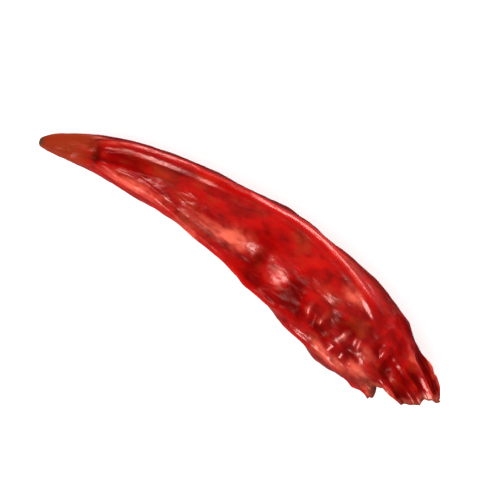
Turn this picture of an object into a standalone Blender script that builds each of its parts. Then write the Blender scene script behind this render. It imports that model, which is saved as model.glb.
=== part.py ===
"""Dried chili pepper without its stem: one shrivelled pod with three seeds caught in its torn mouth.

The pod lies on its side on the plane z = 0. Its tip is at -X, its torn crown at +X and its convex side at +Y.
Every skin point is found from two numbers: its distance along the centreline from the tip, in millimetres,
and its angle round the section, in degrees, from 0 on the +Y flank over 90 on top to 270 underneath.
"""
import math

import bmesh
import bpy
import numpy as np
from mathutils import Euler, Matrix, Vector

MM = 0.001
# Where the origin lies in the plan of the centreline below: the middle of the pod's box, millimetres
ORIGIN = (35.61, 4.523)

# Centreline in plan: the four handles of one Bezier curve from the tip to the far end of the crown
SPINE = ((0.0, 0.1), (21.5, 11.4), (54.0, 6.6), (69.2, -1.2))
# Half width across the centreline: (distance from the tip, half width)
HALF_WIDTH = (
    (0.0, 0.0), (0.3, 0.6), (1.2, 1.05), (3.0, 1.6), (8.0, 2.65), (16.0, 3.95), (24.0, 4.75), (32.0, 5.6),
    (39.0, 6.55), (46.0, 6.85), (55.0, 7.1), (59.5, 6.75), (64.4, 5.45), (67.3, 4.95), (72.0, 4.1),
)
# Height of the section over its width
ROUNDNESS = ((0.0, 0.95), (12.0, 0.88), (35.0, 0.8), (58.0, 0.72), (72.0, 0.66))
# Gap between the plain section and the ground. Below zero the pod is pressed flat where it rests
UNDERSIDE = ((0.0, 2.2), (10.0, 0.9), (22.0, 0.0), (30.0, -0.12), (56.0, -0.12), (64.0, 0.4), (72.0, 1.0))
# Torn edge of the crown: (angle round the section, distance from the tip)
RIM = (
    (0.0, 71.4), (25.0, 71.7), (52.0, 71.0), (66.0, 70.2), (82.0, 71.0), (114.0, 69.3), (121.0, 65.4),
    (135.0, 64.5), (150.0, 65.1), (163.0, 65.8), (180.0, 65.2), (225.0, 64.3), (250.0, 65.9), (270.0, 67.6),
    (288.0, 68.9), (300.0, 68.3), (335.0, 70.6), (360.0, 71.4),
)
RIM_MEAN = 68.0

# Mouth: half width, half height, thickness of the torn lip and distance of the floor from the tip
MOUTH_HALF_WIDTH = 3.2
MOUTH_HALF_HEIGHT = 2.1
LIP = 0.55
MOUTH_FLOOR = 60.0

# Mesh of the pod: points round the section, rings from the tip to the mouth's floor, rings up to the rim
AROUND = 56
RINGS = 76
OUTER_RINGS = 62
# Power that crowds the rings towards the tip
TIP_CROWDING = 1.15

# Corners of the section: how many, the angle of the first one and their height over the half width
CORNERS = 3
CORNER_ANGLE = 46.0
CORNER_HEIGHT = 0.045

# Ribs: height, half width, and the path as (distance from the tip, angle)
RIBS = (
    (0.7, 0.85, (
        (7.0, 72.0), (10.0, 66.0), (15.0, 54.0), (24.0, 51.0),
        (33.0, 46.0), (43.0, 45.0), (50.0, 55.0), (59.0, 68.0))),
    (0.50, 0.8, ((6.0, 132.0), (10.4, 126.0), (14.0, 138.0), (18.0, 138.0), (27.0, 152.0), (47.0, 160.0))),
    (0.45, 0.9, ((46.0, 172.0), (54.0, 160.0), (62.0, 150.0))),
    (0.45, 1.0, ((12.0, 232.0), (28.0, 222.0), (44.0, 236.0), (57.0, 228.0))),
    (0.45, 1.0, ((20.0, 322.0), (34.0, 330.0), (50.0, 318.0), (62.0, 326.0))),
)
# Furrows beside the ribs, given the same way
FURROWS = (
    (0.30, 1.1, (
        (7.0, 42.0), (15.0, 28.0), (26.0, 23.0), (34.0, 19.0), (42.0, 18.0), (51.0, 28.0), (60.0, 38.0))),
    (0.45, 1.5, ((10.0, 84.0), (20.0, 76.0), (31.0, 68.0))),
    (0.35, 1.2, ((20.0, 132.0), (33.0, 135.0), (44.0, 136.0))),
    (0.45, 1.3, ((16.0, 205.0), (32.0, 198.0), (48.0, 204.0))),
    (0.40, 1.3, ((26.0, 350.0), (40.0, 352.0), (56.0, 346.0))),
)
# Bumps over seeds and dents between them: (distance from the tip, angle, half length, half width, height)
BUMPS = (
    (31.0, 120.0, 3.2, 0.9, 0.35), (34.4, 106.0, 2.4, 1.8, 0.20), (42.0, 113.0, 2.0, 1.7, 0.25),
    (46.5, 82.0, 2.4, 1.5, 0.20), (53.3, 71.0, 1.8, 1.3, 0.25),
    (59.6, 131.0, 1.4, 1.0, 0.45), (61.0, 108.0, 1.4, 1.2, 0.30), (65.8, 104.0, 1.2, 1.0, 0.30),
    (38.6, 126.0, 2.2, 1.4, -0.40), (45.8, 122.0, 1.6, 1.8, -0.30), (51.6, 98.0, 1.6, 1.3, -0.30),
    (57.2, 122.0, 1.5, 1.4, -0.50), (63.2, 92.0, 1.6, 1.3, -0.40), (27.0, 98.0, 3.0, 1.5, -0.25),
    (24.0, 188.0, 3.4, 1.4, -0.45), (37.0, 176.0, 2.6, 1.5, -0.40), (51.0, 186.0, 2.8, 1.6, -0.50),
    (31.0, 250.0, 3.0, 1.6, -0.40), (41.0, 300.0, 3.4, 1.8, -0.45), (54.0, 284.0, 3.0, 1.8, -0.45),
    (34.0, 346.0, 2.4, 1.3, 0.35), (45.0, 2.0, 2.6, 1.5, -0.35), (57.0, 8.0, 2.2, 1.5, -0.45),
)
# How far past a bump the skin is stretched taut, over the bump's own size
TAUT = 1.3
# Shrivelled cells of the skin: length, how many round the section, depth, seed of their places
CELLS = ((9.0, 9, 0.42, 5), (4.2, 15, 0.20, 8))
# Rows of cells drawn before their places repeat, how sharp their borders are, and the square of the distance,
# in cells, at which a border stands at full height
CELL_ROWS = 40
CELL_SHARPNESS = 9.0
CELL_REACH = 0.5
# How far the cells wander from straight rows, in cells, and the millimetres along the pod of one wave
CELL_WANDER = 0.4
CELL_WAVE = 38.0
# How strongly the cells show along the pod and round it
SHRIVEL_ALONG = ((0.0, 0.15), (12.0, 0.45), (30.0, 0.7), (48.0, 0.9), (58.0, 1.3), (72.0, 1.5))
SHRIVEL_ROUND = ((0.0, 0.9), (70.0, 0.45), (120.0, 1.0), (180.0, 1.15), (270.0, 1.1), (360.0, 0.9))
# Pleats that gather the crown: how many, where they begin, their height at the rim
PLEATS = ((11, 20.0, 0.28), (17, 75.0, 0.16))
PLEATS_BEGIN = 59.0
# Length of the smooth tip and of the soft ends of ribs and furrows
SMOOTH_TIP = 6.0
FADE = 4.0
# Depth of the mouth, as a share of it, over which the lip turns into the narrower throat
THROAT_BEGINS = 0.45

# Seeds: length, width, thickness, and each one's place in the mouth as distance from the tip, offset across,
# height over the mouth's middle, and turns about X, Y and Z in degrees
SEED_SIZE = (3.2, 2.7, 0.8)
# Dents and beaks of a seed's outline: angle in radians, spread, rise over the radius
SEED_EDGE = ((0.5, 0.35, -0.16), (1.0, 0.25, 0.10))
# Thickness of a seed's middle over that of its rim
SEED_MIDDLE = 0.72
SEEDS = (
    (66.6, 0.5, -1.0, 4.0, 10.0, 20.0),
    (64.2, -0.9, 0.1, 24.0, -18.0, 110.0),
    (66.9, 0.4, 0.45, -16.0, 22.0, 250.0),
)


def smooth_curve(points, at):
    """Smooth line through (position, value) pairs, read at the given positions without overshoot."""
    x, y = np.array(points, dtype=float).T
    rise = np.diff(y) / np.diff(x)
    both = rise[:-1] * rise[1:]
    inner = np.where(both > 0, 2 * both / np.where(both > 0, rise[:-1] + rise[1:], 1), 0)
    slope = np.concatenate([rise[:1], inner, rise[-1:]])
    i = np.clip(np.searchsorted(x, at, side="right") - 1, 0, len(x) - 2)
    step = x[i + 1] - x[i]
    t = np.clip((at - x[i]) / step, 0, 1)
    start = (1 + 2 * t) * (1 - t) ** 2 * y[i] + t * (1 - t) ** 2 * step * slope[i]
    end = t * t * (3 - 2 * t) * y[i + 1] - t * t * (1 - t) * step * slope[i + 1]
    return start + end


def ease(low, high, value):
    """0 below low, 1 above high, with a soft start and end between."""
    t = np.clip((value - low) / (high - low), 0, 1)
    return t * t * (3 - 2 * t)


def turn_between(angle, other):
    """Signed angle in degrees from one direction round the section to another, the short way."""
    return (angle - other + 180) % 360 - 180


def spine_at(along):
    """Plan position and unit sideways direction of the centreline at distances from the tip."""
    t = np.linspace(0, 1, 600)[:, None]
    a, b, c, d = (np.array(p) for p in SPINE)
    line = (1 - t) ** 3 * a + 3 * (1 - t) ** 2 * t * b + 3 * (1 - t) * t ** 2 * c + t ** 3 * d
    steps = np.linalg.norm(np.diff(line, axis=0), axis=1)
    length = np.concatenate([[0], np.cumsum(steps)])
    heading = np.gradient(line, length, axis=0)
    x, y = (np.interp(along, length, line[:, i]) for i in (0, 1))
    over = np.maximum(along - length[-1], 0)
    ahead = np.stack([np.interp(along, length, heading[:, i]) for i in (0, 1)], axis=-1)
    ahead /= np.linalg.norm(ahead, axis=-1, keepdims=True)
    place = np.stack([x, y], axis=-1) + over[..., None] * ahead
    side = np.stack([-ahead[..., 1], ahead[..., 0]], axis=-1)
    return place, side


def section_size(along):
    """Half width and half height of the plain section."""
    wide = smooth_curve(HALF_WIDTH, along)
    return wide, wide * smooth_curve(ROUNDNESS, along)


def middle_height(along):
    """Height of the centreline over the ground."""
    return section_size(along)[1] + smooth_curve(UNDERSIDE, along)


def stripe(along, angle, half_width, path):
    """1 on a path that runs along the pod, falling to 0 beside it and at its ends."""
    route = smooth_curve(path, along)
    beside = np.radians(turn_between(angle, route)) * section_size(along)[0]
    first, last = path[0][0], path[-1][0]
    ends = ease(first, first + FADE, along) * (1 - ease(last - FADE, last, along))
    return np.exp(-(beside / half_width) ** 2) * ends


def bump(along, angle, at, turn, half_length, half_width):
    """1 in the middle of a round bump, falling to 0 round it."""
    beside = np.radians(turn_between(angle, turn)) * section_size(along)[0]
    return np.exp(-((along - at) / half_length) ** 2 - (beside / half_width) ** 2)


def cells(along, angle, length, count, seed):
    """Hollow cells with raised borders, spread over the skin: about 0 in a hollow and 1 on a high border."""
    draws = np.random.default_rng(seed).random((CELL_ROWS, count, 2))
    wave = 2 * math.pi * along / CELL_WAVE
    row = along / length + CELL_WANDER * np.sin(np.radians(angle * 2) + wave)
    column = angle / 360 * count + CELL_WANDER * np.sin(wave)
    total = np.zeros_like(along)
    for down in (-2, -1, 0, 1, 2):
        for across in (-2, -1, 0, 1, 2):
            i = np.floor(row).astype(int) + down
            j = np.floor(column).astype(int) + across
            place = draws[i % CELL_ROWS, j % count]
            near = (i + place[..., 0] - row) ** 2 + (j + place[..., 1] - column) ** 2
            total += np.exp(-CELL_SHARPNESS * near)
    return np.minimum(-np.log(total) / CELL_SHARPNESS / CELL_REACH, 2)


def relief(along, angle):
    """Height of the shrivelled skin over the plain section, in millimetres."""
    wide = section_size(along)[0]
    height = CORNER_HEIGHT * wide * np.cos(np.radians(CORNERS * (angle - CORNER_ANGLE)))
    for rise, half_width, path in RIBS:
        height += rise * stripe(along, angle, half_width, path)
    for depth, half_width, path in FURROWS:
        height -= depth * stripe(along, angle, half_width, path)
    taut = np.zeros_like(along)
    for at, turn, half_length, half_width, rise in BUMPS:
        height += rise * bump(along, angle, at, turn, half_length, half_width)
        if rise > 0:
            taut = np.maximum(taut, bump(along, angle, at, turn, TAUT * half_length, TAUT * half_width))
    strength = smooth_curve(SHRIVEL_ALONG, along) * smooth_curve(SHRIVEL_ROUND, angle % 360)
    for length, count, depth, seed in CELLS:
        height += (1 - taut) * strength * depth * (cells(along, angle, length, count, seed) - 0.5)
    gathered = ease(PLEATS_BEGIN, RIM_MEAN, along)
    for count, start, rise in PLEATS:
        height += rise * gathered * np.cos(np.radians(count * (angle - start)))
    return height * ease(0, SMOOTH_TIP, along)


def skin_points(along, angle, wide, high, height):
    """Points at an angle round sections of the given size, raised by a height, in millimetres."""
    place, side = spine_at(along)
    level = middle_height(along)
    c = np.cos(np.radians(angle))
    s = np.sin(np.radians(angle))
    outward = np.stack([c * high, s * wide], axis=-1)
    outward /= np.maximum(np.linalg.norm(outward, axis=-1, keepdims=True), 1e-6)
    across = wide * c + height * outward[..., 0]
    up = level + high * s + height * outward[..., 1]
    plan = place + across[..., None] * side
    return np.concatenate([plan, up[..., None]], axis=-1)


def pod_points(rings, angle):
    """Skin points for ring numbers counted from the tip over the rim to the mouth's floor."""
    rim = np.interp(angle % 360, *np.array(RIM).T)
    outer = np.minimum(rings / OUTER_RINGS, 1)
    inner = np.maximum(rings - OUTER_RINGS, 0) / (RINGS - OUTER_RINGS)
    along = RIM_MEAN * outer ** TIP_CROWDING + (rim - RIM_MEAN) * ease(0.7, 1, outer)
    along += (MOUTH_FLOOR - rim) * (1 - np.cos(inner * math.pi / 2))
    wide, high = section_size(along)
    deep = ease(0, THROAT_BEGINS, inner)
    taper = np.sqrt(np.maximum(1 - inner ** 4, 0))
    inside = rings > OUTER_RINGS
    mouth_wide = ((wide - LIP) * (1 - deep) + MOUTH_HALF_WIDTH * deep) * taper
    mouth_high = ((high - LIP) * (1 - deep) + MOUTH_HALF_HEIGHT * deep) * taper
    height = relief(along, angle) * np.where(inside, 1 - deep, 1)
    points = skin_points(along, angle, np.where(inside, mouth_wide, wide),
                         np.where(inside, mouth_high, high), height)
    points[:, 2] = np.maximum(points[:, 2], 0)
    return points


def to_world(point):
    """Point in metres from the origin, for one in the centreline's plan in millimetres."""
    return Vector((point[0] - ORIGIN[0], point[1] - ORIGIN[1], point[2])) * MM


def make_material(name, red, green, blue, roughness):
    """Principled material from an sRGB colour given as three values of 0 to 255."""
    material = bpy.data.materials.new(name)
    material.use_nodes = True
    shader = material.node_tree.nodes["Principled BSDF"]
    linear = [((v / 255 + 0.055) / 1.055) ** 2.4 if v > 10 else v / 255 / 12.92 for v in (red, green, blue)]
    shader.inputs["Base Color"].default_value = (*linear, 1)
    shader.inputs["Roughness"].default_value = roughness
    shader.inputs["Metallic"].default_value = 0
    material.diffuse_color = (*linear, 1)
    return material


def add_object(name, mesh, material, collection):
    """Smooth-shaded object with one material in the part's collection."""
    mesh.materials.append(material)
    mesh.shade_smooth()
    thing = bpy.data.objects.new(name, mesh)
    collection.objects.link(thing)
    return thing


def build_pod(material, collection):
    """Pod raised from a sphere: its lower pole becomes the tip, its upper pole the floor of the mouth."""
    shape = bmesh.new()
    bmesh.ops.create_uvsphere(shape, u_segments=AROUND, v_segments=RINGS, radius=1)
    ball = np.array([v.co for v in shape.verts])
    rings = np.round(np.arccos(np.clip(-ball[:, 2], -1, 1)) / math.pi * RINGS)
    angle = np.degrees(np.arctan2(ball[:, 1], ball[:, 0])) % 360
    for vertex, point in zip(shape.verts, pod_points(rings, angle)):
        vertex.co = to_world(point)
    mesh = bpy.data.meshes.new("pod")
    shape.to_mesh(mesh)
    shape.free()
    add_object("pod", mesh, material, collection)


def seed_mesh():
    """Flat kidney-shaped seed with a raised rim and a small beak, lying flat round its middle."""
    shape = bmesh.new()
    bmesh.ops.create_uvsphere(shape, u_segments=20, v_segments=10, radius=1)
    for vertex in shape.verts:
        x, y, z = vertex.co
        turn = math.atan2(y, x)
        edge = 1 + sum(rise * math.exp(-((turn - at) / spread) ** 2) for at, spread, rise in SEED_EDGE)
        dish = SEED_MIDDLE + (1 - SEED_MIDDLE) * (x * x + y * y)
        spot = Vector((x * edge * SEED_SIZE[0], y * edge * SEED_SIZE[1], z * dish * SEED_SIZE[2]))
        vertex.co = spot * MM / 2
    mesh = bpy.data.meshes.new("seed")
    shape.to_mesh(mesh)
    shape.free()
    return mesh


def build_seeds(material, collection):
    """The seeds, each laid in the mouth at its own tilt."""
    for number, (along, across, lift, *turns) in enumerate(SEEDS, start=1):
        along = np.array(along)
        place, side = spine_at(along)
        spot = to_world((*(place + across * side), middle_height(along) + lift))
        seed = add_object(f"seed_{number}", seed_mesh(), material, collection)
        turned = Euler([math.radians(turn) for turn in turns]).to_matrix().to_4x4()
        seed.matrix_world = Matrix.Translation(spot) @ turned


def main():
    """Clear the scene and build the pepper."""
    for thing in list(bpy.data.objects):
        bpy.data.objects.remove(thing)
    collection = bpy.data.collections.new("chili_pepper")
    bpy.context.scene.collection.children.link(collection)
    skin = make_material("dried_skin", 150, 8, 8, 0.3)
    hull = make_material("seed_coat", 226, 178, 92, 0.45)
    build_pod(skin, collection)
    build_seeds(hull, collection)


main()
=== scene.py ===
"""Dried chili pepper: the skin with its folds and torn crown, and three seeds caught in the mouth.

The pod lies on its side on the plane z = 0, tip at -X, torn crown at +X, convex side at +Y. Every point of
the skin is found from two numbers: its distance along the centreline from the tip, in millimetres, and its
angle round the section, in degrees, from 0 on the +Y flank over 90 on top to 270 underneath.
"""
import math

import bpy
import numpy as np
from bpy.props import FloatProperty, FloatVectorProperty, IntProperty, PointerProperty
from mathutils import Euler, Matrix, Vector


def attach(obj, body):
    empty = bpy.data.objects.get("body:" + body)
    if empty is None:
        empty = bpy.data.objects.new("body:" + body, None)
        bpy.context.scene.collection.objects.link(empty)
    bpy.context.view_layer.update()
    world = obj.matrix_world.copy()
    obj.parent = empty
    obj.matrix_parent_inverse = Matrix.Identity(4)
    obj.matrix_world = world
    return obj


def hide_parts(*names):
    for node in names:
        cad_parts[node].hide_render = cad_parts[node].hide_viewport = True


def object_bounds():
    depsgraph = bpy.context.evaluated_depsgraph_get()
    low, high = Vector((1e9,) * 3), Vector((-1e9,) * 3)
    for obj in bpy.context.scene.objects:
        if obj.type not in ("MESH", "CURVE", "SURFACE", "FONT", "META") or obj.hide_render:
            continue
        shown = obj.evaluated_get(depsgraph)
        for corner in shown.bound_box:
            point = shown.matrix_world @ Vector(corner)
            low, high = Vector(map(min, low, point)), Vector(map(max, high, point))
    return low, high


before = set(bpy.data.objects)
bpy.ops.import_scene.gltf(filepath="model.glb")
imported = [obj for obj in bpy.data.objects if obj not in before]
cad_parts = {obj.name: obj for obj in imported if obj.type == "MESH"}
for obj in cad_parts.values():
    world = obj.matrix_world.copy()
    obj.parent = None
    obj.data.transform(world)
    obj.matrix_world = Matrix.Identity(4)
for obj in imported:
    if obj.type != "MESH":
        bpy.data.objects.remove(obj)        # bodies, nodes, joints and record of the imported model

bl_info = {
    "name": "Dried chili pepper",
    "version": (1, 0, 0),
    "blender": (4, 5, 0),
    "location": "3D View > Sidebar > Chili",
    "description": "Models one dried chili pepper with its shrivelled skin and loose seeds",
    "category": "Add Mesh",
}

CAD_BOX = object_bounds()
MM = 0.001
# Where the origin lies in the plan of the centreline below, millimetres
ORIGIN = (35.61, 4.523)

# Centreline in plan: the four handles of one Bezier curve from the tip to the far end of the crown, and the
# points by which it is measured
SPINE = ((0.0, 0.1), (21.5, 11.4), (54.0, 6.6), (69.2, -1.2))
SPINE_POINTS = 600
# Half width across the centreline: (distance from the tip, half width)
HALF_WIDTH = (
    (0.0, 0.0), (0.3, 0.6), (1.2, 1.05), (3.0, 1.6), (8.0, 2.65), (16.0, 3.95), (24.0, 4.75), (32.0, 5.6),
    (39.0, 6.55), (46.0, 6.85), (55.0, 7.1), (59.5, 6.75), (64.4, 5.45), (67.3, 4.95), (72.0, 4.1),
)
# Height of the section over its width
ROUNDNESS = ((0.0, 0.95), (12.0, 0.88), (35.0, 0.8), (58.0, 0.72), (72.0, 0.66))
# Gap between the plain section and the ground. Below zero the pod is pressed flat where it rests
UNDERSIDE = ((0.0, 2.2), (10.0, 0.9), (22.0, 0.0), (30.0, -0.12), (56.0, -0.12), (64.0, 0.4), (72.0, 1.0))
# Torn edge of the crown: (angle round the section, distance from the tip)
RIM = (
    (0.0, 71.4), (25.0, 71.7), (52.0, 71.0), (66.0, 70.2), (82.0, 71.0), (114.0, 69.3), (121.0, 65.4),
    (135.0, 64.5), (150.0, 65.1), (163.0, 65.8), (180.0, 65.2), (225.0, 64.3), (250.0, 65.9), (270.0, 67.6),
    (288.0, 68.9), (300.0, 68.3), (335.0, 70.6), (360.0, 71.4),
)
# Distance of the cage's even rim from the tip, and the share of the way to it that the rings go before they
# follow the torn edge
RIM_MEAN = 68.0
RIM_FOLLOWED = 0.7

# Mouth: half width, half height and distance of the floor from the tip
MOUTH_HALF_WIDTH = 3.2
MOUTH_HALF_HEIGHT = 2.1
MOUTH_FLOOR = 60.0
# Share of the way from the rim to the floor over which the lip narrows into the throat
THROAT_FULL = 0.45
# How flat the mouth's floor is: 2 gives a round one
FLOOR_POWER = 4

# Rings of the cage from the tip to the mouth's floor, rings up to the rim, and the power that crowds the
# outer ones towards the tip
RINGS = 50
OUTER_RINGS = 41
TIP_CROWDING = 1.15
# Radius of the first and last ring, which are merged to points
POLE_RADIUS = 0.01

# Corners of the section: how many, the angle of the first one and their height over the half width
CORNERS = 3
CORNER_ANGLE = 46.0
CORNER_HEIGHT = 0.045

# Ribs: height, half width, and the path as (distance from the tip, angle)
RIBS = (
    (0.6, 1.0, (
        (7.0, 72.0), (10.0, 66.0), (15.0, 55.0), (24.0, 53.0),
        (33.0, 49.0), (43.0, 47.0), (50.0, 55.0), (59.0, 68.0))),
    (0.50, 0.8, ((6.0, 132.0), (10.4, 126.0), (14.0, 138.0), (18.0, 138.0), (27.0, 152.0), (47.0, 160.0))),
    (0.45, 0.9, ((46.0, 172.0), (54.0, 160.0), (62.0, 150.0))),
    (0.45, 1.0, ((12.0, 232.0), (28.0, 222.0), (44.0, 236.0), (57.0, 228.0))),
    (0.45, 1.0, ((20.0, 322.0), (34.0, 330.0), (50.0, 318.0), (62.0, 326.0))),
)
# How flat the tops of the ribs are: 2 gives a round top
RIB_POWER = 4
# Furrows beside the ribs, given the same way
FURROWS = (
    (0.30, 1.1, (
        (7.0, 42.0), (15.0, 28.0), (26.0, 23.0), (34.0, 19.0), (42.0, 18.0), (51.0, 28.0), (60.0, 38.0))),
    (0.15, 1.5, ((10.0, 84.0), (20.0, 76.0), (31.0, 68.0))),
    (0.35, 1.2, ((20.0, 132.0), (33.0, 135.0), (44.0, 136.0))),
    (0.45, 1.3, ((16.0, 205.0), (32.0, 198.0), (48.0, 204.0))),
    (0.40, 1.3, ((26.0, 350.0), (40.0, 352.0), (56.0, 346.0))),
)
# Bumps over seeds and dents between them: (distance from the tip, angle, half length, half width, height)
BUMPS = (
    (31.0, 120.0, 3.2, 0.9, 0.35), (34.4, 106.0, 2.4, 1.8, 0.20), (42.0, 113.0, 2.0, 1.7, 0.25),
    (46.5, 82.0, 2.4, 1.5, 0.20), (53.3, 71.0, 1.8, 1.3, 0.25),
    (59.6, 131.0, 1.4, 1.0, 0.45), (61.0, 108.0, 1.4, 1.2, 0.30), (65.8, 104.0, 1.2, 1.0, 0.30),
    (38.6, 126.0, 2.2, 1.4, -0.40), (45.8, 122.0, 1.6, 1.8, -0.30), (51.6, 98.0, 1.6, 1.3, -0.30),
    (57.2, 122.0, 1.5, 1.4, -0.50), (63.2, 92.0, 1.6, 1.3, -0.40), (27.0, 98.0, 3.0, 1.5, -0.25),
    (24.0, 188.0, 3.4, 1.4, -0.45), (37.0, 176.0, 2.6, 1.5, -0.40), (51.0, 186.0, 2.8, 1.6, -0.50),
    (31.0, 250.0, 3.0, 1.6, -0.40), (41.0, 300.0, 3.4, 1.8, -0.45), (54.0, 284.0, 3.0, 1.8, -0.45),
    (34.0, 346.0, 2.4, 1.3, 0.35), (45.0, 2.0, 2.6, 1.5, -0.35), (57.0, 8.0, 2.2, 1.5, -0.45),
)
# Shrivelled cells of the skin: length, how many round the section, depth, random seed
CELLS = ((9.0, 9, 0.42, 5), (4.2, 15, 0.20, 8))
FINE_CELLS = ((2.6, 22, 0.09, 11), (1.5, 34, 0.03, 14), (0.9, 54, 0.012, 19))
# Crumples of the crown, given the same way, and where they begin and are full
CROWN_CELLS = ((2.8, 13, 0.45, 17),)
CRUMPLES_BEGIN = 53.0
CRUMPLES_FULL = 65.0
# Rows of cells drawn before their places repeat, how sharp their borders are, and the square of the distance,
# in cells, at which a border stands at full height
CELL_ROWS = 80
CELL_SHARPNESS = 9.0
CELL_REACH = 0.5
# How far the cells wander from straight rows, in cells, and the millimetres along the pod of one wave
CELL_WANDER = 0.4
CELL_WAVE = 38.0
# How strongly the cells show along the pod and round it
SHRIVEL_ALONG = ((0.0, 0.15), (12.0, 0.45), (30.0, 0.7), (48.0, 0.9), (58.0, 1.3), (72.0, 1.5))
SHRIVEL_ROUND = ((0.0, 0.9), (70.0, 0.45), (120.0, 1.0), (180.0, 1.15), (270.0, 1.1), (360.0, 0.9))
# Pleats that gather the crown: how many, the angle of the first, their height at the rim. Then the narrow
# pleats between them, given the same way, and the distance from the tip at which all begin
PLEATS = ((11, 20.0, 0.28), (17, 75.0, 0.16))
NARROW_PLEATS = ((29, 40.0, 0.07),)
PLEATS_BEGIN = 59.0
# Length of the smooth tip, of its part without fine wrinkles, and of the soft ends of ribs and furrows
SMOOTH_TIP = 6.0
PLAIN_TIP = 2.5
FADE = 4.0
# Wrinkles that run along the pod: wave length along it and across it, height, random seed
WRINKLES = ((16.0, 3.2, 0.10, 21), (8.0, 1.6, 0.035, 22), (5.0, 0.8, 0.015, 23))
# Waves that are added up for one pattern of wrinkles, and how often each repeats within the wave length
# across the pod, from and to
WAVES = 14
WAVE_SPREAD = (0.6, 1.4)
# How narrow the crests of the wrinkles are, and their mean height as a share of the full one
CREST_SHARPNESS = 1.6
CREST_MEAN = 0.3
# How far the skin is stretched taut over a rib or a bump, over its own half width or half length
TAUT = 1.3
# Short ripples across the pod: (distance from the tip, angle, half length, half width, height). Their skin is
# taut too, so the one of no height is a smooth patch, and those below zero are smooth hollows
RIPPLES = (
    (49.3, 118.0, 0.95, 1.9, 0.30), (51.9, 119.0, 0.9, 1.7, 0.28), (56.0, 112.0, 0.95, 2.0, 0.34),
    (58.2, 101.0, 0.9, 2.0, 0.28), (42.0, 114.0, 2.0, 1.3, -0.28), (45.5, 90.0, 2.4, 1.5, 0.0),
    (45.8, 122.0, 1.6, 1.5, 0.22),
    (27.0, 96.0, 0.6, 1.2, 0.16), (9.4, 94.0, 0.5, 2.6, -0.26),
    (61.6, 86.0, 0.7, 1.8, 0.35), (64.6, 62.0, 0.7, 1.8, 0.35),
)
# How far a ripple leans: millimetres along the pod for each millimetre across it
RIPPLE_LEAN = 0.35
# Radius of the straightened pod on which patterns lie, which keeps them whole round the section
PATTERN_RADIUS = 5.0
# Fine tears of the rim: how many round it, their depth, random seed
RIM_TEARS = ((23, 0.35, 31), (47, 0.18, 32))
# Rounds of averaging with the neighbours that give the level a crest or hollow is measured from, and the
# height over it that counts as a full crest
LEVEL_ROUNDS = 300
FULL_CREST = 0.45
# Distance from the torn edge over which the skin is scarred
SCAR_REACH = 2.0
# Painted shade on the flank beyond the long rib: degrees past the rib where it begins, starts to fade and
# ends, and then where it is full, by distance from the tip
FLANK_SHADE_SPAN = (3.0, 70.0, 120.0)
FLANK_SHADE_FULL = ((0.0, 8.0), (34.0, 8.0), (44.0, 52.0), (62.0, 52.0))
# Marks of the skin: (distance from the tip, angle, half length, half width, strength)
# Dark marks: partly stains, partly painted shade in creases, hollows and along the upper outline
DARK_STAINS_AND_SHADE = (
    (28.5, 50.0, 5.0, 1.1, 0.6), (14.0, 104.0, 4.5, 1.5, 0.3), (40.0, 146.0, 4.0, 1.3, 0.7),
    (38.5, 92.0, 3.0, 1.6, 0.4), (47.0, 136.0, 3.4, 1.8, 0.9), (52.6, 130.0, 2.2, 1.3, 0.8),
    (55.5, 100.0, 2.0, 1.2, 0.6), (46.0, 112.0, 1.6, 2.6, 0.9), (39.0, 118.0, 1.2, 1.8, 0.7),
    (13.5, 84.0, 3.0, 1.0, 0.3), (66.5, 80.0, 1.6, 1.8, 0.8), (67.5, 112.0, 1.6, 1.2, 0.7),
    (8.2, 72.0, 0.7, 0.9, 0.9), (9.6, 104.0, 0.6, 1.8, 1.0), (4.6, 48.0, 1.2, 0.8, 0.8),
    (16.5, 90.0, 3.0, 1.4, 0.3),
)
BROWN_STAINS = (
    (20.0, 84.0, 2.6, 1.7, 0.6), (34.5, 118.0, 2.6, 1.4, 0.6), (50.0, 90.0, 3.0, 1.6, 0.5),
    (25.0, 110.0, 3.0, 1.2, 0.5),
)
# Pale marks: painted highlights on ridges and bumps, and painted reflections along the lower outline
PAINTED_HIGHLIGHTS = (
    (16.5, 136.0, 5.8, 1.0, 0.9), (34.2, 113.0, 2.6, 1.9, 0.9), (42.0, 113.0, 1.6, 1.2, 0.5),
    (29.5, 128.0, 4.6, 1.4, 0.7), (27.0, 158.0, 3.4, 1.1, 0.7), (6.8, 78.0, 2.6, 0.7, 0.5),
    (52.6, 72.0, 2.3, 1.1, 0.8), (56.5, 149.0, 4.6, 1.0, 1.0), (61.0, 131.0, 2.4, 1.1, 0.9),
    (64.0, 148.0, 1.6, 0.9, 0.6), (60.2, 106.0, 1.8, 1.0, 0.7), (33.0, 121.0, 2.0, 0.8, 0.3),
    (9.5, 42.0, 3.4, 0.7, 0.8), (49.3, 118.0, 0.6, 1.4, 0.6), (51.9, 119.0, 0.6, 1.4, 0.6),
    (56.0, 112.0, 0.6, 1.6, 0.6),
)
# Painted highlight on the top of the long rib, by distance from the tip, and half the width of that line
RIB_PAINTED_HIGHLIGHT = (
    (7.0, 0.5), (12.0, 0.5), (20.0, 0.3), (26.0, 0.0), (38.0, 0.2), (43.0, 0.5), (50.0, 0.5), (56.0, 0.0),
)
RIB_HIGHLIGHT_HALF_WIDTH = 0.4
# Painted highlight on the crests of the crumpled crown and along its torn rim, and painted shade in its
# hollows
CROWN_PAINTED_HIGHLIGHT = 0.6
RIM_PAINTED_HIGHLIGHT = 0.8
CROWN_SHADE = 0.6
# Height of a crest at which its painted highlight begins and is full, and depth of a hollow at which its
# painted shade does, both over a full crest
HIGHLIGHTED_CRESTS = (0.4, 1.0)
SHADED_HOLLOWS = (0.0, 0.6)
# How far past the rim, in rings of the cage, the colour of the inner wall begins
INNER_WALL = 0.2
# How much clean skin and dusty folds mirror, and the strength of darkening, by stain or painted shade, at
# which the dust is full
CLEAN_GLOSS = 0.5
DUSTY_GLOSS = 0.06
DUST_FULL = 0.3

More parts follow.
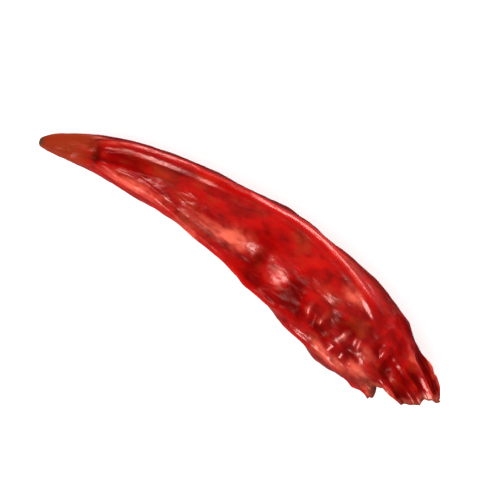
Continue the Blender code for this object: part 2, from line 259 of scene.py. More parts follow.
# Seeds in the mouth: distance from the tip, offset across, height over the centreline, and turns about X, Y
# and Z in degrees
SEEDS = (
    (66.6, 0.5, -1.0, 4.0, 10.0, 20.0),
    (64.2, -0.9, 0.1, 24.0, -18.0, 110.0),
    (66.9, 0.4, 0.45, -16.0, 22.0, 250.0),
)
# Points round a seed's outline
SEED_SIDES = 24
# Insets of a seed's two faces: width over the seed's width, and depth over its thickness
SEED_INSETS = ((0.10, 0.0), (0.08, -0.12), (0.14, -0.08))
# Dent and beak of a seed's outline: angle, half angle, size over the plain one
SEED_EDGE = ((28.0, 16.0, 0.87), (58.0, 12.0, 1.08))


def linear(code):
    """Linear colour for an sRGB hex code."""
    parts = [int(code[i:i + 2], 16) / 255 for i in (0, 2, 4)]
    return tuple(v / 12.92 if v <= 0.04045 else ((v + 0.055) / 1.055) ** 2.4 for v in parts)


def colour_property(name, description, code):
    """Colour setting whose default is an sRGB hex code."""
    return FloatVectorProperty(
        name=name, description=description, subtype="COLOR", size=3, min=0, max=1, default=linear(code))


def length_property(name, description, millimetres):
    """Length setting whose default is given in millimetres."""
    return FloatProperty(
        name=name, description=description, unit="LENGTH", min=0, precision=5, default=millimetres * MM)


class PodSettings(bpy.types.PropertyGroup):
    """Sizes and colours of the pod."""

    columns: IntProperty(name="Columns", description="Points round each ring of the cage", default=30, min=12)
    levels: IntProperty(
        name="Subdivisions", description="Times the cage is subdivided", default=3, min=1, max=3)
    lip: length_property("Lip", "Thickness of the torn lip", 0.28)
    wrinkles: FloatProperty(
        name="Wrinkles", description="Strength of the fine wrinkles", default=1.0, min=0, max=2)
    skin: colour_property("Skin", "Deep red of the dried skin", "7E0202")
    # Brighter red of random patches and specks, also painted as highlight on the crests of the relief
    bright: colour_property("Bright skin", "Thin patches that let light through", "A20603")
    # Dark red of random blotches, also painted as shade in hollows, creases, the crown and the flank
    dark_tone_and_shade: colour_property("Folds", "Dark red in hollows and folds", "480101")
    stain: colour_property("Stains", "Brown stains", "8A2A10")
    # Pale orange painted as highlights and reflections on ridges, bumps, the crown's crests and the torn rim
    pale: colour_property("Bleached skin", "Pale orange where ridges are bleached", "D8604A")
    tip: colour_property("Tip", "Orange brown towards the tip", "7E260C")
    point: colour_property("Point", "Withered end of the tip", "3A2A1C")
    scar: colour_property("Crown", "Brown where the skin tore", "641C0C")
    inside: colour_property("Inner wall", "Dull orange inner wall", "6E220C")


class SeedSettings(bpy.types.PropertyGroup):
    """Sizes and colours of the seeds."""

    length: length_property("Length", "Length of a seed", 3.2)
    width: length_property("Width", "Width of a seed", 2.7)
    thickness: length_property("Thickness", "Thickness of a seed at its rim", 0.8)
    face: colour_property("Face", "Pale middle of a seed", "E6BE6E")
    rim: colour_property("Rim", "Deeper yellow in the hollows of a seed", "C98A34")


class StageSettings(bpy.types.PropertyGroup):
    """Floor, light and camera."""

    floor: colour_property("Floor", "Pale floor", "F8F8F8")
    elevation: FloatProperty(
        name="Elevation", description="Camera angle over the floor", default=math.radians(84),
        subtype="ANGLE")
    slope: FloatProperty(
        name="Slope", description="Slope of the pod in the picture", default=math.radians(34.5),
        subtype="ANGLE")
    lens: FloatProperty(name="Lens", description="Focal length in millimetres", default=100, min=20)
    picture: length_property("Picture width", "Width seen at the pod", 74)
    key: FloatProperty(
        name="Lamps", description="Power of the near lamp, which the far one follows", default=1.2,
        unit="POWER")
    sky: FloatProperty(
        name="Surroundings", description="Brightness of the white surroundings", default=1.0, min=0)
    mirrored: FloatProperty(
        name="Mirrored", description="Brightness of the surroundings in the gloss of the skin",
        default=0.03, min=0)
    paper: FloatProperty(
        name="Mirrored floor", description="Brightness of the floor in the gloss of the skin",
        default=0.12, min=0)


def smooth_curve(points, at):
    """Smooth line through (position, value) pairs, read at the given positions without overshoot."""
    x, y = np.array(points, dtype=float).T
    rise = np.diff(y) / np.diff(x)
    both = rise[:-1] * rise[1:]
    inner = np.where(both > 0, 2 * both / np.where(both > 0, rise[:-1] + rise[1:], 1), 0)
    slope = np.concatenate([rise[:1], inner, rise[-1:]])
    i = np.clip(np.searchsorted(x, at, side="right") - 1, 0, len(x) - 2)
    step = x[i + 1] - x[i]
    t = np.clip((at - x[i]) / step, 0, 1)
    start = (1 + 2 * t) * (1 - t) ** 2 * y[i] + t * (1 - t) ** 2 * step * slope[i]
    end = t * t * (3 - 2 * t) * y[i + 1] - t * t * (1 - t) * step * slope[i + 1]
    return start + end


def ease(low, high, value):
    """0 below low, 1 above high, with a soft start and end between."""
    t = np.clip((value - low) / (high - low), 0, 1)
    return t * t * (3 - 2 * t)


def turn_between(angle, other):
    """Signed angle in degrees from one direction round the section to another, the short way."""
    return (angle - other + 180) % 360 - 180


def spine_at(along):
    """Plan position and unit sideways direction of the centreline at distances from the tip."""
    t = np.linspace(0, 1, SPINE_POINTS)[:, None]
    a, b, c, d = (np.array(p) for p in SPINE)
    line = (1 - t) ** 3 * a + 3 * (1 - t) ** 2 * t * b + 3 * (1 - t) * t ** 2 * c + t ** 3 * d
    steps = np.linalg.norm(np.diff(line, axis=0), axis=1)
    length = np.concatenate([[0], np.cumsum(steps)])
    heading = np.gradient(line, length, axis=0)
    x, y = (np.interp(along, length, line[:, i]) for i in (0, 1))
    over = np.maximum(along - length[-1], 0)
    ahead = np.stack([np.interp(along, length, heading[:, i]) for i in (0, 1)], axis=-1)
    ahead /= np.linalg.norm(ahead, axis=-1, keepdims=True)
    place = np.stack([x, y], axis=-1) + over[..., None] * ahead
    side = np.stack([-ahead[..., 1], ahead[..., 0]], axis=-1)
    return place, side


def section_size(along):
    """Half width and half height of the plain section."""
    wide = smooth_curve(HALF_WIDTH, along)
    return wide, wide * smooth_curve(ROUNDNESS, along)


def middle_height(along):
    """Height of the centreline over the ground."""
    return section_size(along)[1] + smooth_curve(UNDERSIDE, along)


def stripe(along, angle, half_width, path, power=2):
    """1 on a path that runs along the pod, falling to 0 beside it and at its ends.

    More power gives it a flatter top.
    """
    route = smooth_curve(path, along)
    beside = np.radians(turn_between(angle, route)) * section_size(along)[0]
    first, last = path[0][0], path[-1][0]
    ends = ease(first, first + FADE, along) * (1 - ease(last - FADE, last, along))
    return np.exp(-(np.abs(beside) / half_width) ** power) * ends


def bump(along, angle, at, turn, half_length, half_width):
    """1 in the middle of a round bump, falling to 0 round it."""
    beside = np.radians(turn_between(angle, turn)) * section_size(along)[0]
    return np.exp(-((along - at) / half_length) ** 2 - (beside / half_width) ** 2)


def cells(along, angle, length, count, seed):
    """Hollow cells with raised borders, spread over the skin: about 0 in a hollow and 1 on a high border."""
    draws = np.random.default_rng(seed).random((CELL_ROWS, count, 2))
    wave = 2 * math.pi * along / CELL_WAVE
    row = along / length + CELL_WANDER * np.sin(np.radians(angle * 2) + wave)
    column = angle / 360 * count + CELL_WANDER * np.sin(wave)
    total = np.zeros_like(along)
    for down in (-2, -1, 0, 1, 2):
        for across in (-2, -1, 0, 1, 2):
            i = np.floor(row).astype(int) + down
            j = np.floor(column).astype(int) + across
            place = draws[i % CELL_ROWS, j % count]
            near = (i + place[..., 0] - row) ** 2 + (j + place[..., 1] - column) ** 2
            total += np.exp(-CELL_SHARPNESS * near)
    return np.minimum(-np.log(total) / CELL_SHARPNESS / CELL_REACH, 2)


def straightened(along, angle):
    """Points on a straight round pod, in millimetres, on which patterns lie."""
    turn = np.radians(angle)
    return np.stack([along, np.cos(turn) * PATTERN_RADIUS, np.sin(turn) * PATTERN_RADIUS], axis=-1)


def crests(along, angle, wave_along, wave_across, seed):
    """Sharp wandering crests along the pod: 1 on a crest, falling towards 0 between them."""
    rng = np.random.default_rng(seed)
    place = straightened(along, angle)
    total = np.zeros_like(along)
    for _ in range(WAVES):
        turn = rng.uniform(0, 2 * math.pi)
        across = rng.uniform(*WAVE_SPREAD) / wave_across
        direction = np.array([rng.normal() / wave_along, math.cos(turn) * across, math.sin(turn) * across])
        total += np.sin(2 * math.pi * (place @ direction) + rng.uniform(0, 2 * math.pi))
    return np.exp(-CREST_SHARPNESS * np.abs(total) / math.sqrt(WAVES / 2))


def shrivel(along, angle):
    """How strongly the skin is shrivelled."""
    return smooth_curve(SHRIVEL_ALONG, along) * smooth_curve(SHRIVEL_ROUND, angle % 360)


def cell_relief(along, angle, sizes):
    """Height of layers of cells, in millimetres."""
    height = sum(
        depth * (cells(along, angle, length, count, seed) - 0.5) for length, count, depth, seed in sizes)
    return height * shrivel(along, angle)


def ripple(along, angle, at, turn, half_length, half_width):
    """1 on a short ripple that leans across the pod, falling to 0 round it."""
    lean = RIPPLE_LEAN * np.radians(turn_between(angle, turn)) * section_size(along)[0]
    return bump(along - lean, angle, at, turn, half_length, half_width)


def tautness(along, angle):
    """1 where the skin is stretched smooth over a bump or a ripple, falling to 0 round it."""
    taut = np.zeros_like(along)
    for at, turn, half_length, half_width, rise in BUMPS:
        if rise > 0:
            taut = np.maximum(taut, bump(along, angle, at, turn, TAUT * half_length, TAUT * half_width))
    for *place, _ in RIPPLES:
        taut = np.maximum(taut, ripple(along, angle, *place))
    return taut


def main_relief(along, angle):
    """Height of corners, ribs, furrows, bumps, large cells and pleats over the plain section, millimetres."""
    height = CORNER_HEIGHT * section_size(along)[0] * np.cos(np.radians(CORNERS * (angle - CORNER_ANGLE)))
    for rise, half_width, path in RIBS:
        height += rise * stripe(along, angle, half_width, path, RIB_POWER)
    for depth, half_width, path in FURROWS:
        height -= depth * stripe(along, angle, half_width, path)
    for at, turn, half_length, half_width, rise in BUMPS:
        height += rise * bump(along, angle, at, turn, half_length, half_width)
    height += cell_relief(along, angle, CELLS) * (1 - tautness(along, angle))
    gathered = ease(PLEATS_BEGIN, RIM_MEAN, along)
    for count, start, rise in PLEATS:
        height += rise * gathered * np.cos(np.radians(count * (angle - start)))
    return height * ease(0, SMOOTH_TIP, along)


def fine_relief(along, angle):
    """Height of the ripples, fine cells, crumples, narrow pleats and long wrinkles, in millimetres."""
    taut = tautness(along, angle)
    ripples = np.zeros_like(along)
    for _, half_width, path in RIBS:
        taut = np.maximum(taut, stripe(along, angle, TAUT * half_width, path))
    for *place, rise in RIPPLES:
        ripples += rise * ripple(along, angle, *place)
    height = cell_relief(along, angle, FINE_CELLS)
    height += cell_relief(along, angle, CROWN_CELLS) * ease(CRUMPLES_BEGIN, CRUMPLES_FULL, along)
    gathered = ease(PLEATS_BEGIN, RIM_MEAN, along)
    for count, start, rise in NARROW_PLEATS:
        height += rise * gathered * np.cos(np.radians(count * (angle - start)))
    for wave_along, wave_across, rise, seed in WRINKLES:
        wave = crests(along, angle, wave_along, wave_across, seed) - CREST_MEAN
        height += rise * wave * smooth_curve(SHRIVEL_ROUND, angle % 360)
    return (height * (1 - taut) + ripples) * ease(0, PLAIN_TIP, along)


def torn_rim(angle):
    """Distance of the torn edge from the tip, with its fine tears."""
    rim = np.interp(angle % 360, *np.array(RIM).T)
    for count, depth, seed in RIM_TEARS:
        ends = np.random.default_rng(seed).uniform(-depth, depth, count)
        at = (angle % 360) / 360 * count
        i = np.floor(at).astype(int)
        rim = rim + ends[i % count] * (i + 1 - at) + ends[(i + 1) % count] * (at - i)
    return rim


def ring_size(ring, rim, lip):
    """Distance from the tip, half width, half height and share of the throat for ring numbers of the cage."""
    outer = np.minimum(ring / OUTER_RINGS, 1)
    inner = np.maximum(ring - OUTER_RINGS, 0) / (RINGS - OUTER_RINGS)
    along = RIM_MEAN * outer ** TIP_CROWDING + (rim - RIM_MEAN) * ease(RIM_FOLLOWED, 1, outer)
    along = along + (MOUTH_FLOOR - rim) * (1 - np.cos(inner * math.pi / 2))
    wide, high = section_size(along)
    throat = ease(0, THROAT_FULL, inner)
    taper = np.sqrt(np.maximum(1 - inner ** FLOOR_POWER, 0))
    inside = ring > OUTER_RINGS
    mouth_wide = ((wide - lip) * (1 - throat) + MOUTH_HALF_WIDTH * throat) * taper
    mouth_high = ((high - lip) * (1 - throat) + MOUTH_HALF_HEIGHT * throat) * taper
    return along, np.where(inside, mouth_wide, wide), np.where(inside, mouth_high, high), throat


def skin_points(along, angle, wide, high, height):
    """Points at an angle round sections of the given size, raised by a height, in metres from the origin."""
    place, side = spine_at(along)
    cosine = np.cos(np.radians(angle))
    sine = np.sin(np.radians(angle))
    outward = np.stack([cosine * high, sine * wide], axis=-1)
    outward /= np.maximum(np.linalg.norm(outward, axis=-1, keepdims=True), 1e-6)
    across = wide * cosine + height * outward[..., 0]
    up = middle_height(along) + high * sine + height * outward[..., 1]
    plan = place + across[..., None] * side - ORIGIN
    return np.concatenate([plan, up[..., None]], axis=-1) * MM


def deselect_all():
    """Nothing selected, and no object in edit mode."""
    if bpy.context.object and bpy.context.object.mode != "OBJECT":
        bpy.ops.object.mode_set(mode="OBJECT")
    bpy.ops.object.select_all(action="DESELECT")


def read_places(piece):
    """Places of the vertices, one row each."""
    flat = np.empty(len(piece.data.vertices) * 3)
    piece.data.vertices.foreach_get("co", flat)
    return flat.reshape(-1, 3)


def read_vectors(piece, name):
    """Vectors stored on the vertices, one row each."""
    flat = np.empty(len(piece.data.vertices) * 3)
    piece.data.attributes[name].data.foreach_get("vector", flat)
    return flat.reshape(-1, 3)


def write_vectors(piece, name, columns):
    """Stores one vector on each vertex, given as three columns."""
    layer = piece.data.attributes.new(name, "FLOAT_VECTOR", "POINT")
    layer.data.foreach_set("vector", np.stack(columns, axis=-1).ravel())


def apply_modifier(piece, kind, **settings):
    """Adds a modifier with its settings and applies it."""
    modifier = piece.modifiers.new(kind, kind)
    for name, value in settings.items():
        setattr(modifier, name, value)
    bpy.ops.object.modifier_apply(modifier=modifier.name)


def neighbour_mean(piece, values, rounds):
    """Values averaged with those of the joined vertices, several times over."""
    ends = np.empty(len(piece.data.edges) * 2, dtype=np.int32)
    piece.data.edges.foreach_get("vertices", ends)
    start, stop = ends.reshape(-1, 2).T
    size = len(values)
    joined = np.bincount(start, minlength=size) + np.bincount(stop, minlength=size)
    for _ in range(rounds):
        total = np.bincount(start, values[stop], size) + np.bincount(stop, values[start], size)
        values = (values + total / joined) / 2
    return values


def loft_cage(columns, lip):
    """Closed cage of the pod, drawn ring by ring from the tip over the rim to the mouth's floor."""
    ring = np.arange(RINGS + 1, dtype=float)
    along, wide, high, _ = ring_size(ring, RIM_MEAN, lip)
    wide, high = np.maximum(wide, POLE_RADIUS), np.maximum(high, POLE_RADIUS)
    place, side = spine_at(along)
    middles = np.column_stack([place - ORIGIN, middle_height(along)]) * MM
    headings = np.arctan2(-side[:, 0], side[:, 1])
    deselect_all()
    bpy.ops.mesh.primitive_circle_add(
        vertices=columns, radius=POLE_RADIUS * MM, location=middles[0],
        rotation=(math.pi / 2, 0, headings[0] + math.pi / 2))
    cage = bpy.context.object
    bpy.ops.object.transform_apply(location=True, rotation=True, scale=True)
    bpy.ops.object.mode_set(mode="EDIT")
    bpy.ops.mesh.select_all(action="SELECT")
    for k in range(1, RINGS + 1):
        bpy.ops.mesh.extrude_region_move(TRANSFORM_OT_translate={"value": middles[k] - middles[k - 1]})
        grow, rise = wide[k] / wide[k - 1], high[k] / high[k - 1]
        bpy.ops.transform.resize(value=(grow, grow, rise), center_override=middles[k])
        bpy.ops.transform.rotate(
            value=headings[k - 1] - headings[k], orient_axis="Z", center_override=middles[k])
    bpy.ops.object.mode_set(mode="OBJECT")
    number = np.repeat(ring, columns)
    spread = read_places(cage) / MM - np.repeat(middles, columns, axis=0) / MM
    across = np.sum(spread[:, :2] * np.repeat(side, columns, axis=0), axis=1) / np.repeat(wide, columns)
    up = spread[:, 2] / np.repeat(high, columns)
    around = (number > 0) & (number < RINGS)
    write_vectors(cage, "ring_and_turn", (number, across * around, up * around))
    bpy.ops.object.mode_set(mode="EDIT")
    bpy.ops.mesh.select_all(action="SELECT")
    bpy.ops.mesh.remove_doubles(threshold=3 * POLE_RADIUS * MM)
    bpy.ops.mesh.select_all(action="SELECT")
    bpy.ops.mesh.normals_make_consistent(inside=False)
    bpy.ops.object.mode_set(mode="OBJECT")
    return cage


def wrinkle_skin(pod, settings):
    """Shrivels the smooth pod. Folds this fine follow formulas, because no edit by hand gives them."""
    ring, across, up = read_vectors(pod, "ring_and_turn").T
    angle = np.degrees(np.arctan2(up, across)) % 360
    rim = torn_rim(angle)
    along, wide, high, throat = ring_size(ring, rim, settings.lip / MM)
    height = main_relief(along, angle) + settings.wrinkles * fine_relief(along, angle)
    places = skin_points(along, angle, wide, high, height * (1 - throat))
    places[:, 2] = np.maximum(places[:, 2], 0)
    pod.data.vertices.foreach_set("co", places.ravel())
    pod.data.update()
    crest = np.clip((height - neighbour_mean(pod, height, LEVEL_ROUNDS)) / FULL_CREST, -1, 1)
    # Painted shade on the flank beyond the long rib
    beyond = -turn_between(angle, smooth_curve(RIBS[0][2], along))
    begins, fades, ends = FLANK_SHADE_SPAN
    flank = ease(begins, smooth_curve(FLANK_SHADE_FULL, along), beyond) * (1 - ease(fades, ends, beyond))
    # Dark stains with painted shade, brown stains, and painted highlights and reflections
    dark, brown, pale = (
        sum(strength * bump(along, angle, *place) for *place, strength in stains)
        for stains in (DARK_STAINS_AND_SHADE, BROWN_STAINS, PAINTED_HIGHLIGHTS))
    # Painted highlight along the top of the long rib
    line = stripe(along, angle, RIB_HIGHLIGHT_HALF_WIDTH, RIBS[0][2])
    pale = np.maximum(pale, smooth_curve(RIB_PAINTED_HIGHLIGHT, along) * line)
    crown = ease(CRUMPLES_BEGIN, CRUMPLES_FULL, along)
    # Painted highlight on the crown's crests and painted shade in its hollows
    pale = np.maximum(pale, CROWN_PAINTED_HIGHLIGHT * ease(*HIGHLIGHTED_CRESTS, crest) * crown)
    dark = np.maximum(dark, CROWN_SHADE * ease(*SHADED_HOLLOWS, -crest) * crown)
    scar = 1 - ease(0, SCAR_REACH, rim - along)
    # Painted highlight along the torn rim
    pale = np.maximum(pale, RIM_PAINTED_HIGHLIGHT * scar)
    inside = (ring > OUTER_RINGS + INNER_WALL).astype(float)
    write_vectors(pod, "skin_place", straightened(along, angle).T)
    write_vectors(pod, "skin_marks", (crest, scar, inside))
    # Stored: dark stains with all painted shade, brown stains, and all painted highlights and reflections
    write_vectors(pod, "skin_stains_and_painted_light", (np.maximum(dark, flank), brown, pale))


def add_node(tree, kind, sockets=None, **choices):
    """Adds a node with its own choices, and gives each of its sockets a value or another node's output."""
    node = tree.nodes.new("ShaderNode" + kind)
    for name, value in choices.items():
        setattr(node, name, value)
    for name, value in (sockets or {}).items():
        if isinstance(value, bpy.types.NodeSocket):
            tree.links.new(value, node.inputs[name])
        else:
            node.inputs[name].default_value = value
    return node


def new_material(name):
    """Material with only its output node, and that node's tree."""
    material = bpy.data.materials.new(name)
    material.use_nodes = True
    material.node_tree.nodes.clear()
    return material, material.node_tree


def dried_skin(settings):
    """Dried chili skin: a thin waxy film over leathery flesh, so gloss over deep, uneven red."""
    material, tree = new_material("dried_chili_skin")
    place = add_node(tree, "Attribute", attribute_name="skin_place").outputs["Vector"]
    marks = add_node(tree, "Attribute", attribute_name="skin_marks").outputs["Vector"]
    crest, scar, inside = add_node(tree, "SeparateXYZ", {0: marks}).outputs
    # Dark stains with painted shade, brown stains, and painted highlights and reflections
    stains = add_node(tree, "Attribute", attribute_name="skin_stains_and_painted_light").outputs["Vector"]
    dark, brown, pale = add_node(tree, "SeparateXYZ", {0: stains}).outputs
    from_tip = add_node(tree, "SeparateXYZ", {0: place}).outputs["X"]
    # Across the pod, patches are about 7 mm, blotches 3.3 mm, mottles 2 mm and specks 0.9 mm. Along it, all
    # are twice as long
    stretched = add_node(tree, "Mapping", {"Vector": place, "Scale": (0.5, 1, 1)}).outputs[0]
    patches = add_node(tree, "TexNoise", {"Vector": stretched, "Scale": 0.14, "Detail": 2}).outputs[0]
    blotches = add_node(tree, "TexNoise", {"Vector": stretched, "Scale": 0.3, "Detail": 4}).outputs[0]
    mottles = add_node(tree, "TexNoise", {"Vector": stretched, "Scale": 0.5, "Detail": 3}).outputs[0]
    specks = add_node(tree, "TexNoise", {"Vector": stretched, "Scale": 1.1, "Detail": 2}).outputs[0]
    # Between the specks the painted highlight is half as strong
    uneven = add_node(
        tree, "MapRange", {"Value": specks, "From Min": 0.35, "From Max": 0.65, "To Min": 0.5}).outputs[0]
    painted_highlight = add_node(tree, "Math", {0: pale, 1: uneven}, operation="MULTIPLY").outputs[0]
    # Distance from the tip in millimetres, up to 3 more in the blotches, which makes edges ragged
    ragged = add_node(tree, "Math", {0: blotches, 1: 3.0}, operation="MULTIPLY").outputs[0]
    tip_edge = add_node(tree, "Math", {0: from_tip, 1: ragged}, operation="ADD").outputs[0]
    colour = add_node(tree, "RGB")
    colour.outputs[0].default_value = (*settings.skin, 1)
    colour = colour.outputs[0]
    # Layers of colour, each over those before it: what places it, where it begins and where it is full, its
    # strength and its colour
    for source, low, high, share, over in (
        (patches, 0.45, 0.65, 0.8, settings.bright),
        (blotches, 0.5, 0.72, 0.6, settings.dark_tone_and_shade),
        (mottles, 0.5, 0.7, 0.5, settings.stain),
        (mottles, 0.5, 0.3, 0.4, settings.dark_tone_and_shade),
        (specks, 0.52, 0.72, 0.5, settings.bright),
        (specks, 0.46, 0.28, 0.4, settings.dark_tone_and_shade),
        (brown, 0.1, 1.0, 0.8, settings.stain),
        # Dark stains and painted shade
        (dark, 0.1, 1.0, 0.85, settings.dark_tone_and_shade),
        # Painted shade in the hollows of the relief
        (crest, -0.1, -1.0, 0.6, settings.dark_tone_and_shade),
        # Painted highlight on the crests of the relief
        (crest, 0.2, 1.0, 0.5, settings.bright),
        # Painted highlights and reflections
        (painted_highlight, 0.1, 1.0, 0.7, settings.pale),
        (tip_edge, 12.0, 6.5, 0.8, settings.tip),
        (tip_edge, 2.6, 1.6, 0.8, settings.point),
        (scar, 0.6, 0.95, 0.8, settings.scar),
        (inside, 0.0, 1.0, 1.0, settings.inside),
    ):
        mask = add_node(
            tree, "MapRange", {"Value": source, "From Min": low, "From Max": high, "To Max": share},
            interpolation_type="SMOOTHSTEP").outputs[0]
        colour = add_node(tree, "Mix", {0: mask, 6: colour, 7: (*over, 1)}, data_type="RGBA").outputs[2]
    # The waxy skin is smooth and the inner wall is matt
    outer = add_node(tree, "MapRange", {
        "Value": blotches, "From Min": 0.3, "From Max": 0.7, "To Min": 0.19, "To Max": 0.28,
    }).outputs[0]
    roughness = add_node(tree, "Mix", {0: inside, 2: outer, 3: 0.7}).outputs[0]
    # Dark folds hold dust and mirror little; the darkening counted here includes painted shade, less any
    # painted highlight
    folds = add_node(tree, "Math", {0: dark, 1: pale}, operation="SUBTRACT").outputs[0]
    gloss = add_node(tree, "MapRange", {
        "Value": folds, "From Max": DUST_FULL, "To Min": CLEAN_GLOSS, "To Max": DUSTY_GLOSS,
    }).outputs[0]
    # Grain of 0.5 mm across the pod and 1.4 mm along it
    grain_place = add_node(tree, "Mapping", {"Vector": place, "Scale": (0.35, 1, 1)}).outputs[0]
    grain = add_node(tree, "TexNoise", {"Vector": grain_place, "Scale": 2.0, "Detail": 4, "Roughness": 0.6})
    relief = add_node(
        tree, "Bump", {"Height": grain.outputs[0], "Strength": 0.6, "Distance": 0.10 * MM})
    shader = add_node(tree, "BsdfPrincipled", {
        "Base Color": colour, "Roughness": roughness, "Normal": relief.outputs[0],
        "IOR": 1.5, "Specular IOR Level": gloss, "Specular Tint": (1.0, 0.5, 0.45, 1.0),
        "Subsurface Weight": 0.12, "Subsurface Radius": (1.0, 0.15, 0.1), "Subsurface Scale": 0.8 * MM,
    })
    add_node(tree, "OutputMaterial", {"Surface": shader.outputs[0]})
    return material


def seed_coat(settings):
    """Chili seed coat: dry, papery and slightly pitted, so matt pale yellow, deeper in its hollows."""
    material, tree = new_material("chili_seed_coat")
    place = add_node(tree, "TexCoord").outputs["Object"]
    # Blotches of about 1.2 mm and pits of about 0.25 mm
    blotches = add_node(tree, "TexNoise", {"Vector": place, "Scale": 800, "Detail": 3}).outputs[0]
    pits = add_node(tree, "TexNoise", {"Vector": place, "Scale": 4000, "Detail": 2}).outputs[0]
    mask = add_node(
        tree, "MapRange", {"Value": blotches, "From Min": 0.4, "From Max": 0.7},
        interpolation_type="SMOOTHSTEP").outputs[0]
    colour = add_node(
        tree, "Mix", {0: mask, 6: (*settings.face, 1), 7: (*settings.rim, 1)}, data_type="RGBA")
    relief = add_node(tree, "Bump", {"Height": pits, "Strength": 0.5, "Distance": 0.04 * MM})
    shader = add_node(tree, "BsdfPrincipled", {
        "Base Color": colour.outputs[2], "Roughness": 0.5, "Normal": relief.outputs[0],
        "Subsurface Weight": 0.1, "Subsurface Radius": (1.0, 0.6, 0.3), "Subsurface Scale": 0.5 * MM,
    })
    add_node(tree, "OutputMaterial", {"Surface": shader.outputs[0]})
    return material


def white_floor(settings):
    """Matt white paper, which gloss mirrors only faintly, as it does the surroundings."""
    material, tree = new_material("white_paper")
    glossy = add_node(tree, "LightPath").outputs["Is Glossy Ray"]
    colour = add_node(
        tree, "Mix", {0: glossy, 6: (*settings.floor, 1), 7: (*[settings.paper] * 3, 1)}, data_type="RGBA")
    shader = add_node(tree, "BsdfPrincipled", {"Base Color": colour.outputs[2], "Roughness": 0.9})
    add_node(tree, "OutputMaterial", {"Surface": shader.outputs[0]})
    return material


def white_surroundings(settings):
    """White surroundings that gloss mirrors only faintly, so that the skin keeps its deep colour."""
    world = bpy.data.worlds.new("white_surroundings")
    world.use_nodes = True
    tree = world.node_tree
    tree.nodes.clear()
    glossy = add_node(tree, "LightPath").outputs["Is Glossy Ray"]
    strength = add_node(
        tree, "MapRange", {"Value": glossy, "To Min": settings.sky, "To Max": settings.mirrored}).outputs[0]
    sky = add_node(tree, "Background", {"Color": (1, 1, 1, 1), "Strength": strength})
    add_node(tree, "OutputWorld", {"Surface": sky.outputs[0]})
    return world


class CHILI_OT_pod(bpy.types.Operator):
    """Models the pod: its shrivelled skin, torn crown and mouth"""

    bl_idname = "chili.pod"
    bl_label = "Pod"

    def execute(self, context):
        settings = context.scene.chili_pod
        pod = loft_cage(settings.columns, settings.lip / MM)
        apply_modifier(pod, "SUBSURF", levels=settings.levels, render_levels=settings.levels)
        wrinkle_skin(pod, settings)
        bpy.ops.object.shade_smooth()
        pod.name = pod.data.name = "pod_skin"
        pod.data.materials.append(dried_skin(settings))
        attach(pod, "root")
        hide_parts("pod")
        return {"FINISHED"}


def model_seed(settings):
    """One seed lying flat round the origin: a disc with a dished face on both sides and a dented outline."""
    deselect_all()
    bpy.ops.mesh.primitive_cylinder_add(vertices=SEED_SIDES, radius=0.5, depth=1, end_fill_type="NGON")
    seed = bpy.context.object
    bpy.ops.transform.resize(
        value=(settings.length, settings.width, settings.thickness), center_override=(0, 0, 0))
    bpy.ops.object.transform_apply(location=True, rotation=True, scale=True)
    # The two end faces look straight up and down
    ends = [abs(face.normal.z) > 0.9 for face in seed.data.polygons]
    bpy.ops.object.mode_set(mode="EDIT")
    bpy.ops.mesh.select_mode(type="FACE")
    bpy.ops.mesh.select_all(action="DESELECT")
    bpy.ops.object.mode_set(mode="OBJECT")
    seed.data.polygons.foreach_set("select", ends)
    bpy.ops.object.mode_set(mode="EDIT")
    for width, depth in SEED_INSETS:
        bpy.ops.mesh.inset(thickness=width * settings.width, depth=depth * settings.thickness)
    bpy.ops.mesh.select_mode(type="VERT")
    for at, half_angle, size in SEED_EDGE:
        bpy.ops.mesh.select_all(action="DESELECT")
        bpy.ops.object.mode_set(mode="OBJECT")
        turn = np.degrees(np.arctan2(*read_places(seed)[:, 1::-1].T))
        seed.data.vertices.foreach_set("select", np.abs(turn_between(turn, at)) < half_angle)
        bpy.ops.object.mode_set(mode="EDIT")
        bpy.ops.transform.resize(value=(size, size, 1), center_override=(0, 0, 0))
    bpy.ops.object.mode_set(mode="OBJECT")
    apply_modifier(seed, "SUBSURF", levels=2, render_levels=2)
    return seed


class CHILI_OT_seeds(bpy.types.Operator):
    """Models the loose seeds and lays them in the mouth"""

    bl_idname = "chili.seeds"
    bl_label = "Seeds"

    def execute(self, context):
        settings = context.scene.chili_seeds
        coat = seed_coat(settings)
        for number, (along, across, lift, *turns) in enumerate(SEEDS, start=1):
            seed = model_seed(settings)
            place, side = spine_at(np.array(along))
            plan = place + across * side - ORIGIN
            spot = Vector((*plan, middle_height(np.array(along)) + lift)) * MM
            turned = Euler([math.radians(turn) for turn in turns]).to_matrix().to_4x4()
            seed.matrix_world = Matrix.Translation(spot) @ turned
            bpy.ops.object.transform_apply(location=True, rotation=True, scale=True)
            bpy.ops.object.shade_smooth()
            seed.name = seed.data.name = f"seed_coat_{number}"
            seed.data.materials.append(coat)
            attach(seed, "root")
            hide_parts(f"seed_{number}")
        return {"FINISHED"}


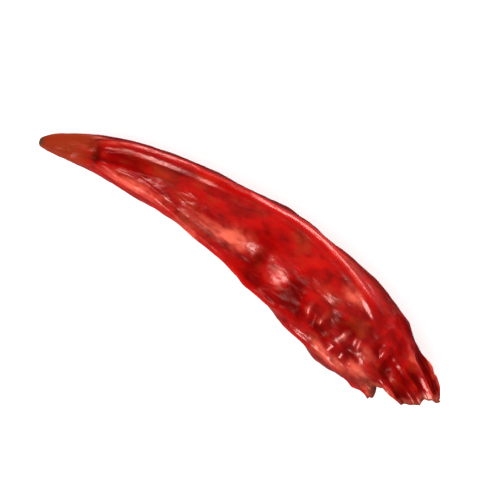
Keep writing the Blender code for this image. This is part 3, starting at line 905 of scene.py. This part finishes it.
class CHILI_OT_stage(bpy.types.Operator):
    """Sets up the floor, the soft light and the camera"""

    bl_idname = "chili.stage"
    bl_label = "Stage"

    def execute(self, context):
        settings = context.scene.chili_stage
        deselect_all()
        bpy.ops.mesh.primitive_plane_add(size=2)
        floor = context.object
        floor.name = floor.data.name = "floor"
        floor.data.materials.append(white_floor(settings))
        # Directions to the right and upwards in the picture, seen from above
        right = Vector((math.cos(settings.slope), math.sin(settings.slope), 0))
        ahead = Vector((-right.y, right.x, 0))
        # Lamps and camera aim a little below the pod's middle height
        target = Vector((0, 0, 0.4 * sum(corner.z for corner in CAD_BOX)))
        # Two broad lamps: places to the right, up the picture and over the floor, then width and height, all
        # over the picture's width, and the power over that of the near lamp
        for name, offset, width, height, power in (
            ("lamp_near", (-1.9, -2.7, 3.6), 1.4, 1.4, 1.0),
            ("lamp_far", (1.4, 2.7, 0.8), 3.4, 0.8, 0.7),
        ):
            spot = (right * offset[0] + ahead * offset[1] + Vector((0, 0, offset[2]))) * settings.picture
            bpy.ops.object.light_add(type="AREA", location=spot)
            lamp = context.object
            lamp.name = name
            lamp.rotation_euler = (target - spot).to_track_quat("-Z", "Y").to_euler()
            lamp.data.shape = "RECTANGLE"
            lamp.data.size = width * settings.picture
            lamp.data.size_y = height * settings.picture
            lamp.data.energy = power * settings.key
        context.scene.world = white_surroundings(settings)
        context.scene.view_settings.view_transform = "Standard"
        self.add_camera(context, settings, right, ahead, target)
        return {"FINISHED"}

    def add_camera(self, context, settings, right, ahead, target):
        """Camera that looks down on the pod as the photograph does."""
        back = Vector((0, 0, math.sin(settings.elevation))) - ahead * math.cos(settings.elevation)
        bpy.ops.object.camera_add()
        camera = context.object
        camera.name = "camera"
        camera.data.lens = settings.lens
        distance = settings.picture * settings.lens / camera.data.sensor_width
        turned = Matrix((right, back.cross(right), back)).transposed()
        camera.matrix_world = Matrix.Translation(target + back * distance) @ turned.to_4x4()
        camera.data.clip_start = distance / 100
        context.scene.camera = camera


class CHILI_PT_panel(bpy.types.Panel):
    """Settings and buttons of the chili pepper"""

    bl_idname = "CHILI_PT_panel"
    bl_label = "Dried chili pepper"
    bl_space_type = "VIEW_3D"
    bl_region_type = "UI"
    bl_category = "Chili"

    def draw(self, context):
        for operator, group in PIECES:
            box = self.layout.box()
            settings = getattr(context.scene, group)
            for name in settings.__annotations__:
                box.prop(settings, name)
            box.operator(operator)


# Operators in the order in which they run, each with its settings
PIECES = (("chili.pod", "chili_pod"), ("chili.seeds", "chili_seeds"), ("chili.stage", "chili_stage"))
GROUPS = (PodSettings, SeedSettings, StageSettings)
CLASSES = (*GROUPS, CHILI_OT_pod, CHILI_OT_seeds, CHILI_OT_stage, CHILI_PT_panel)


def register():
    """Adds the classes and each group of settings to Blender."""
    for one in CLASSES:
        bpy.utils.register_class(one)
    for (_, group), kind in zip(PIECES, GROUPS):
        setattr(bpy.types.Scene, group, PointerProperty(type=kind))


def unregister():
    """Takes the settings and classes out of Blender again."""
    for _, group in PIECES:
        delattr(bpy.types.Scene, group)
    for one in reversed(CLASSES):
        bpy.utils.unregister_class(one)


def main():
    """Models every piece."""
    register()
    bpy.ops.chili.pod()
    bpy.ops.chili.seeds()
    bpy.ops.chili.stage()


if __name__ == "__main__":
    main()
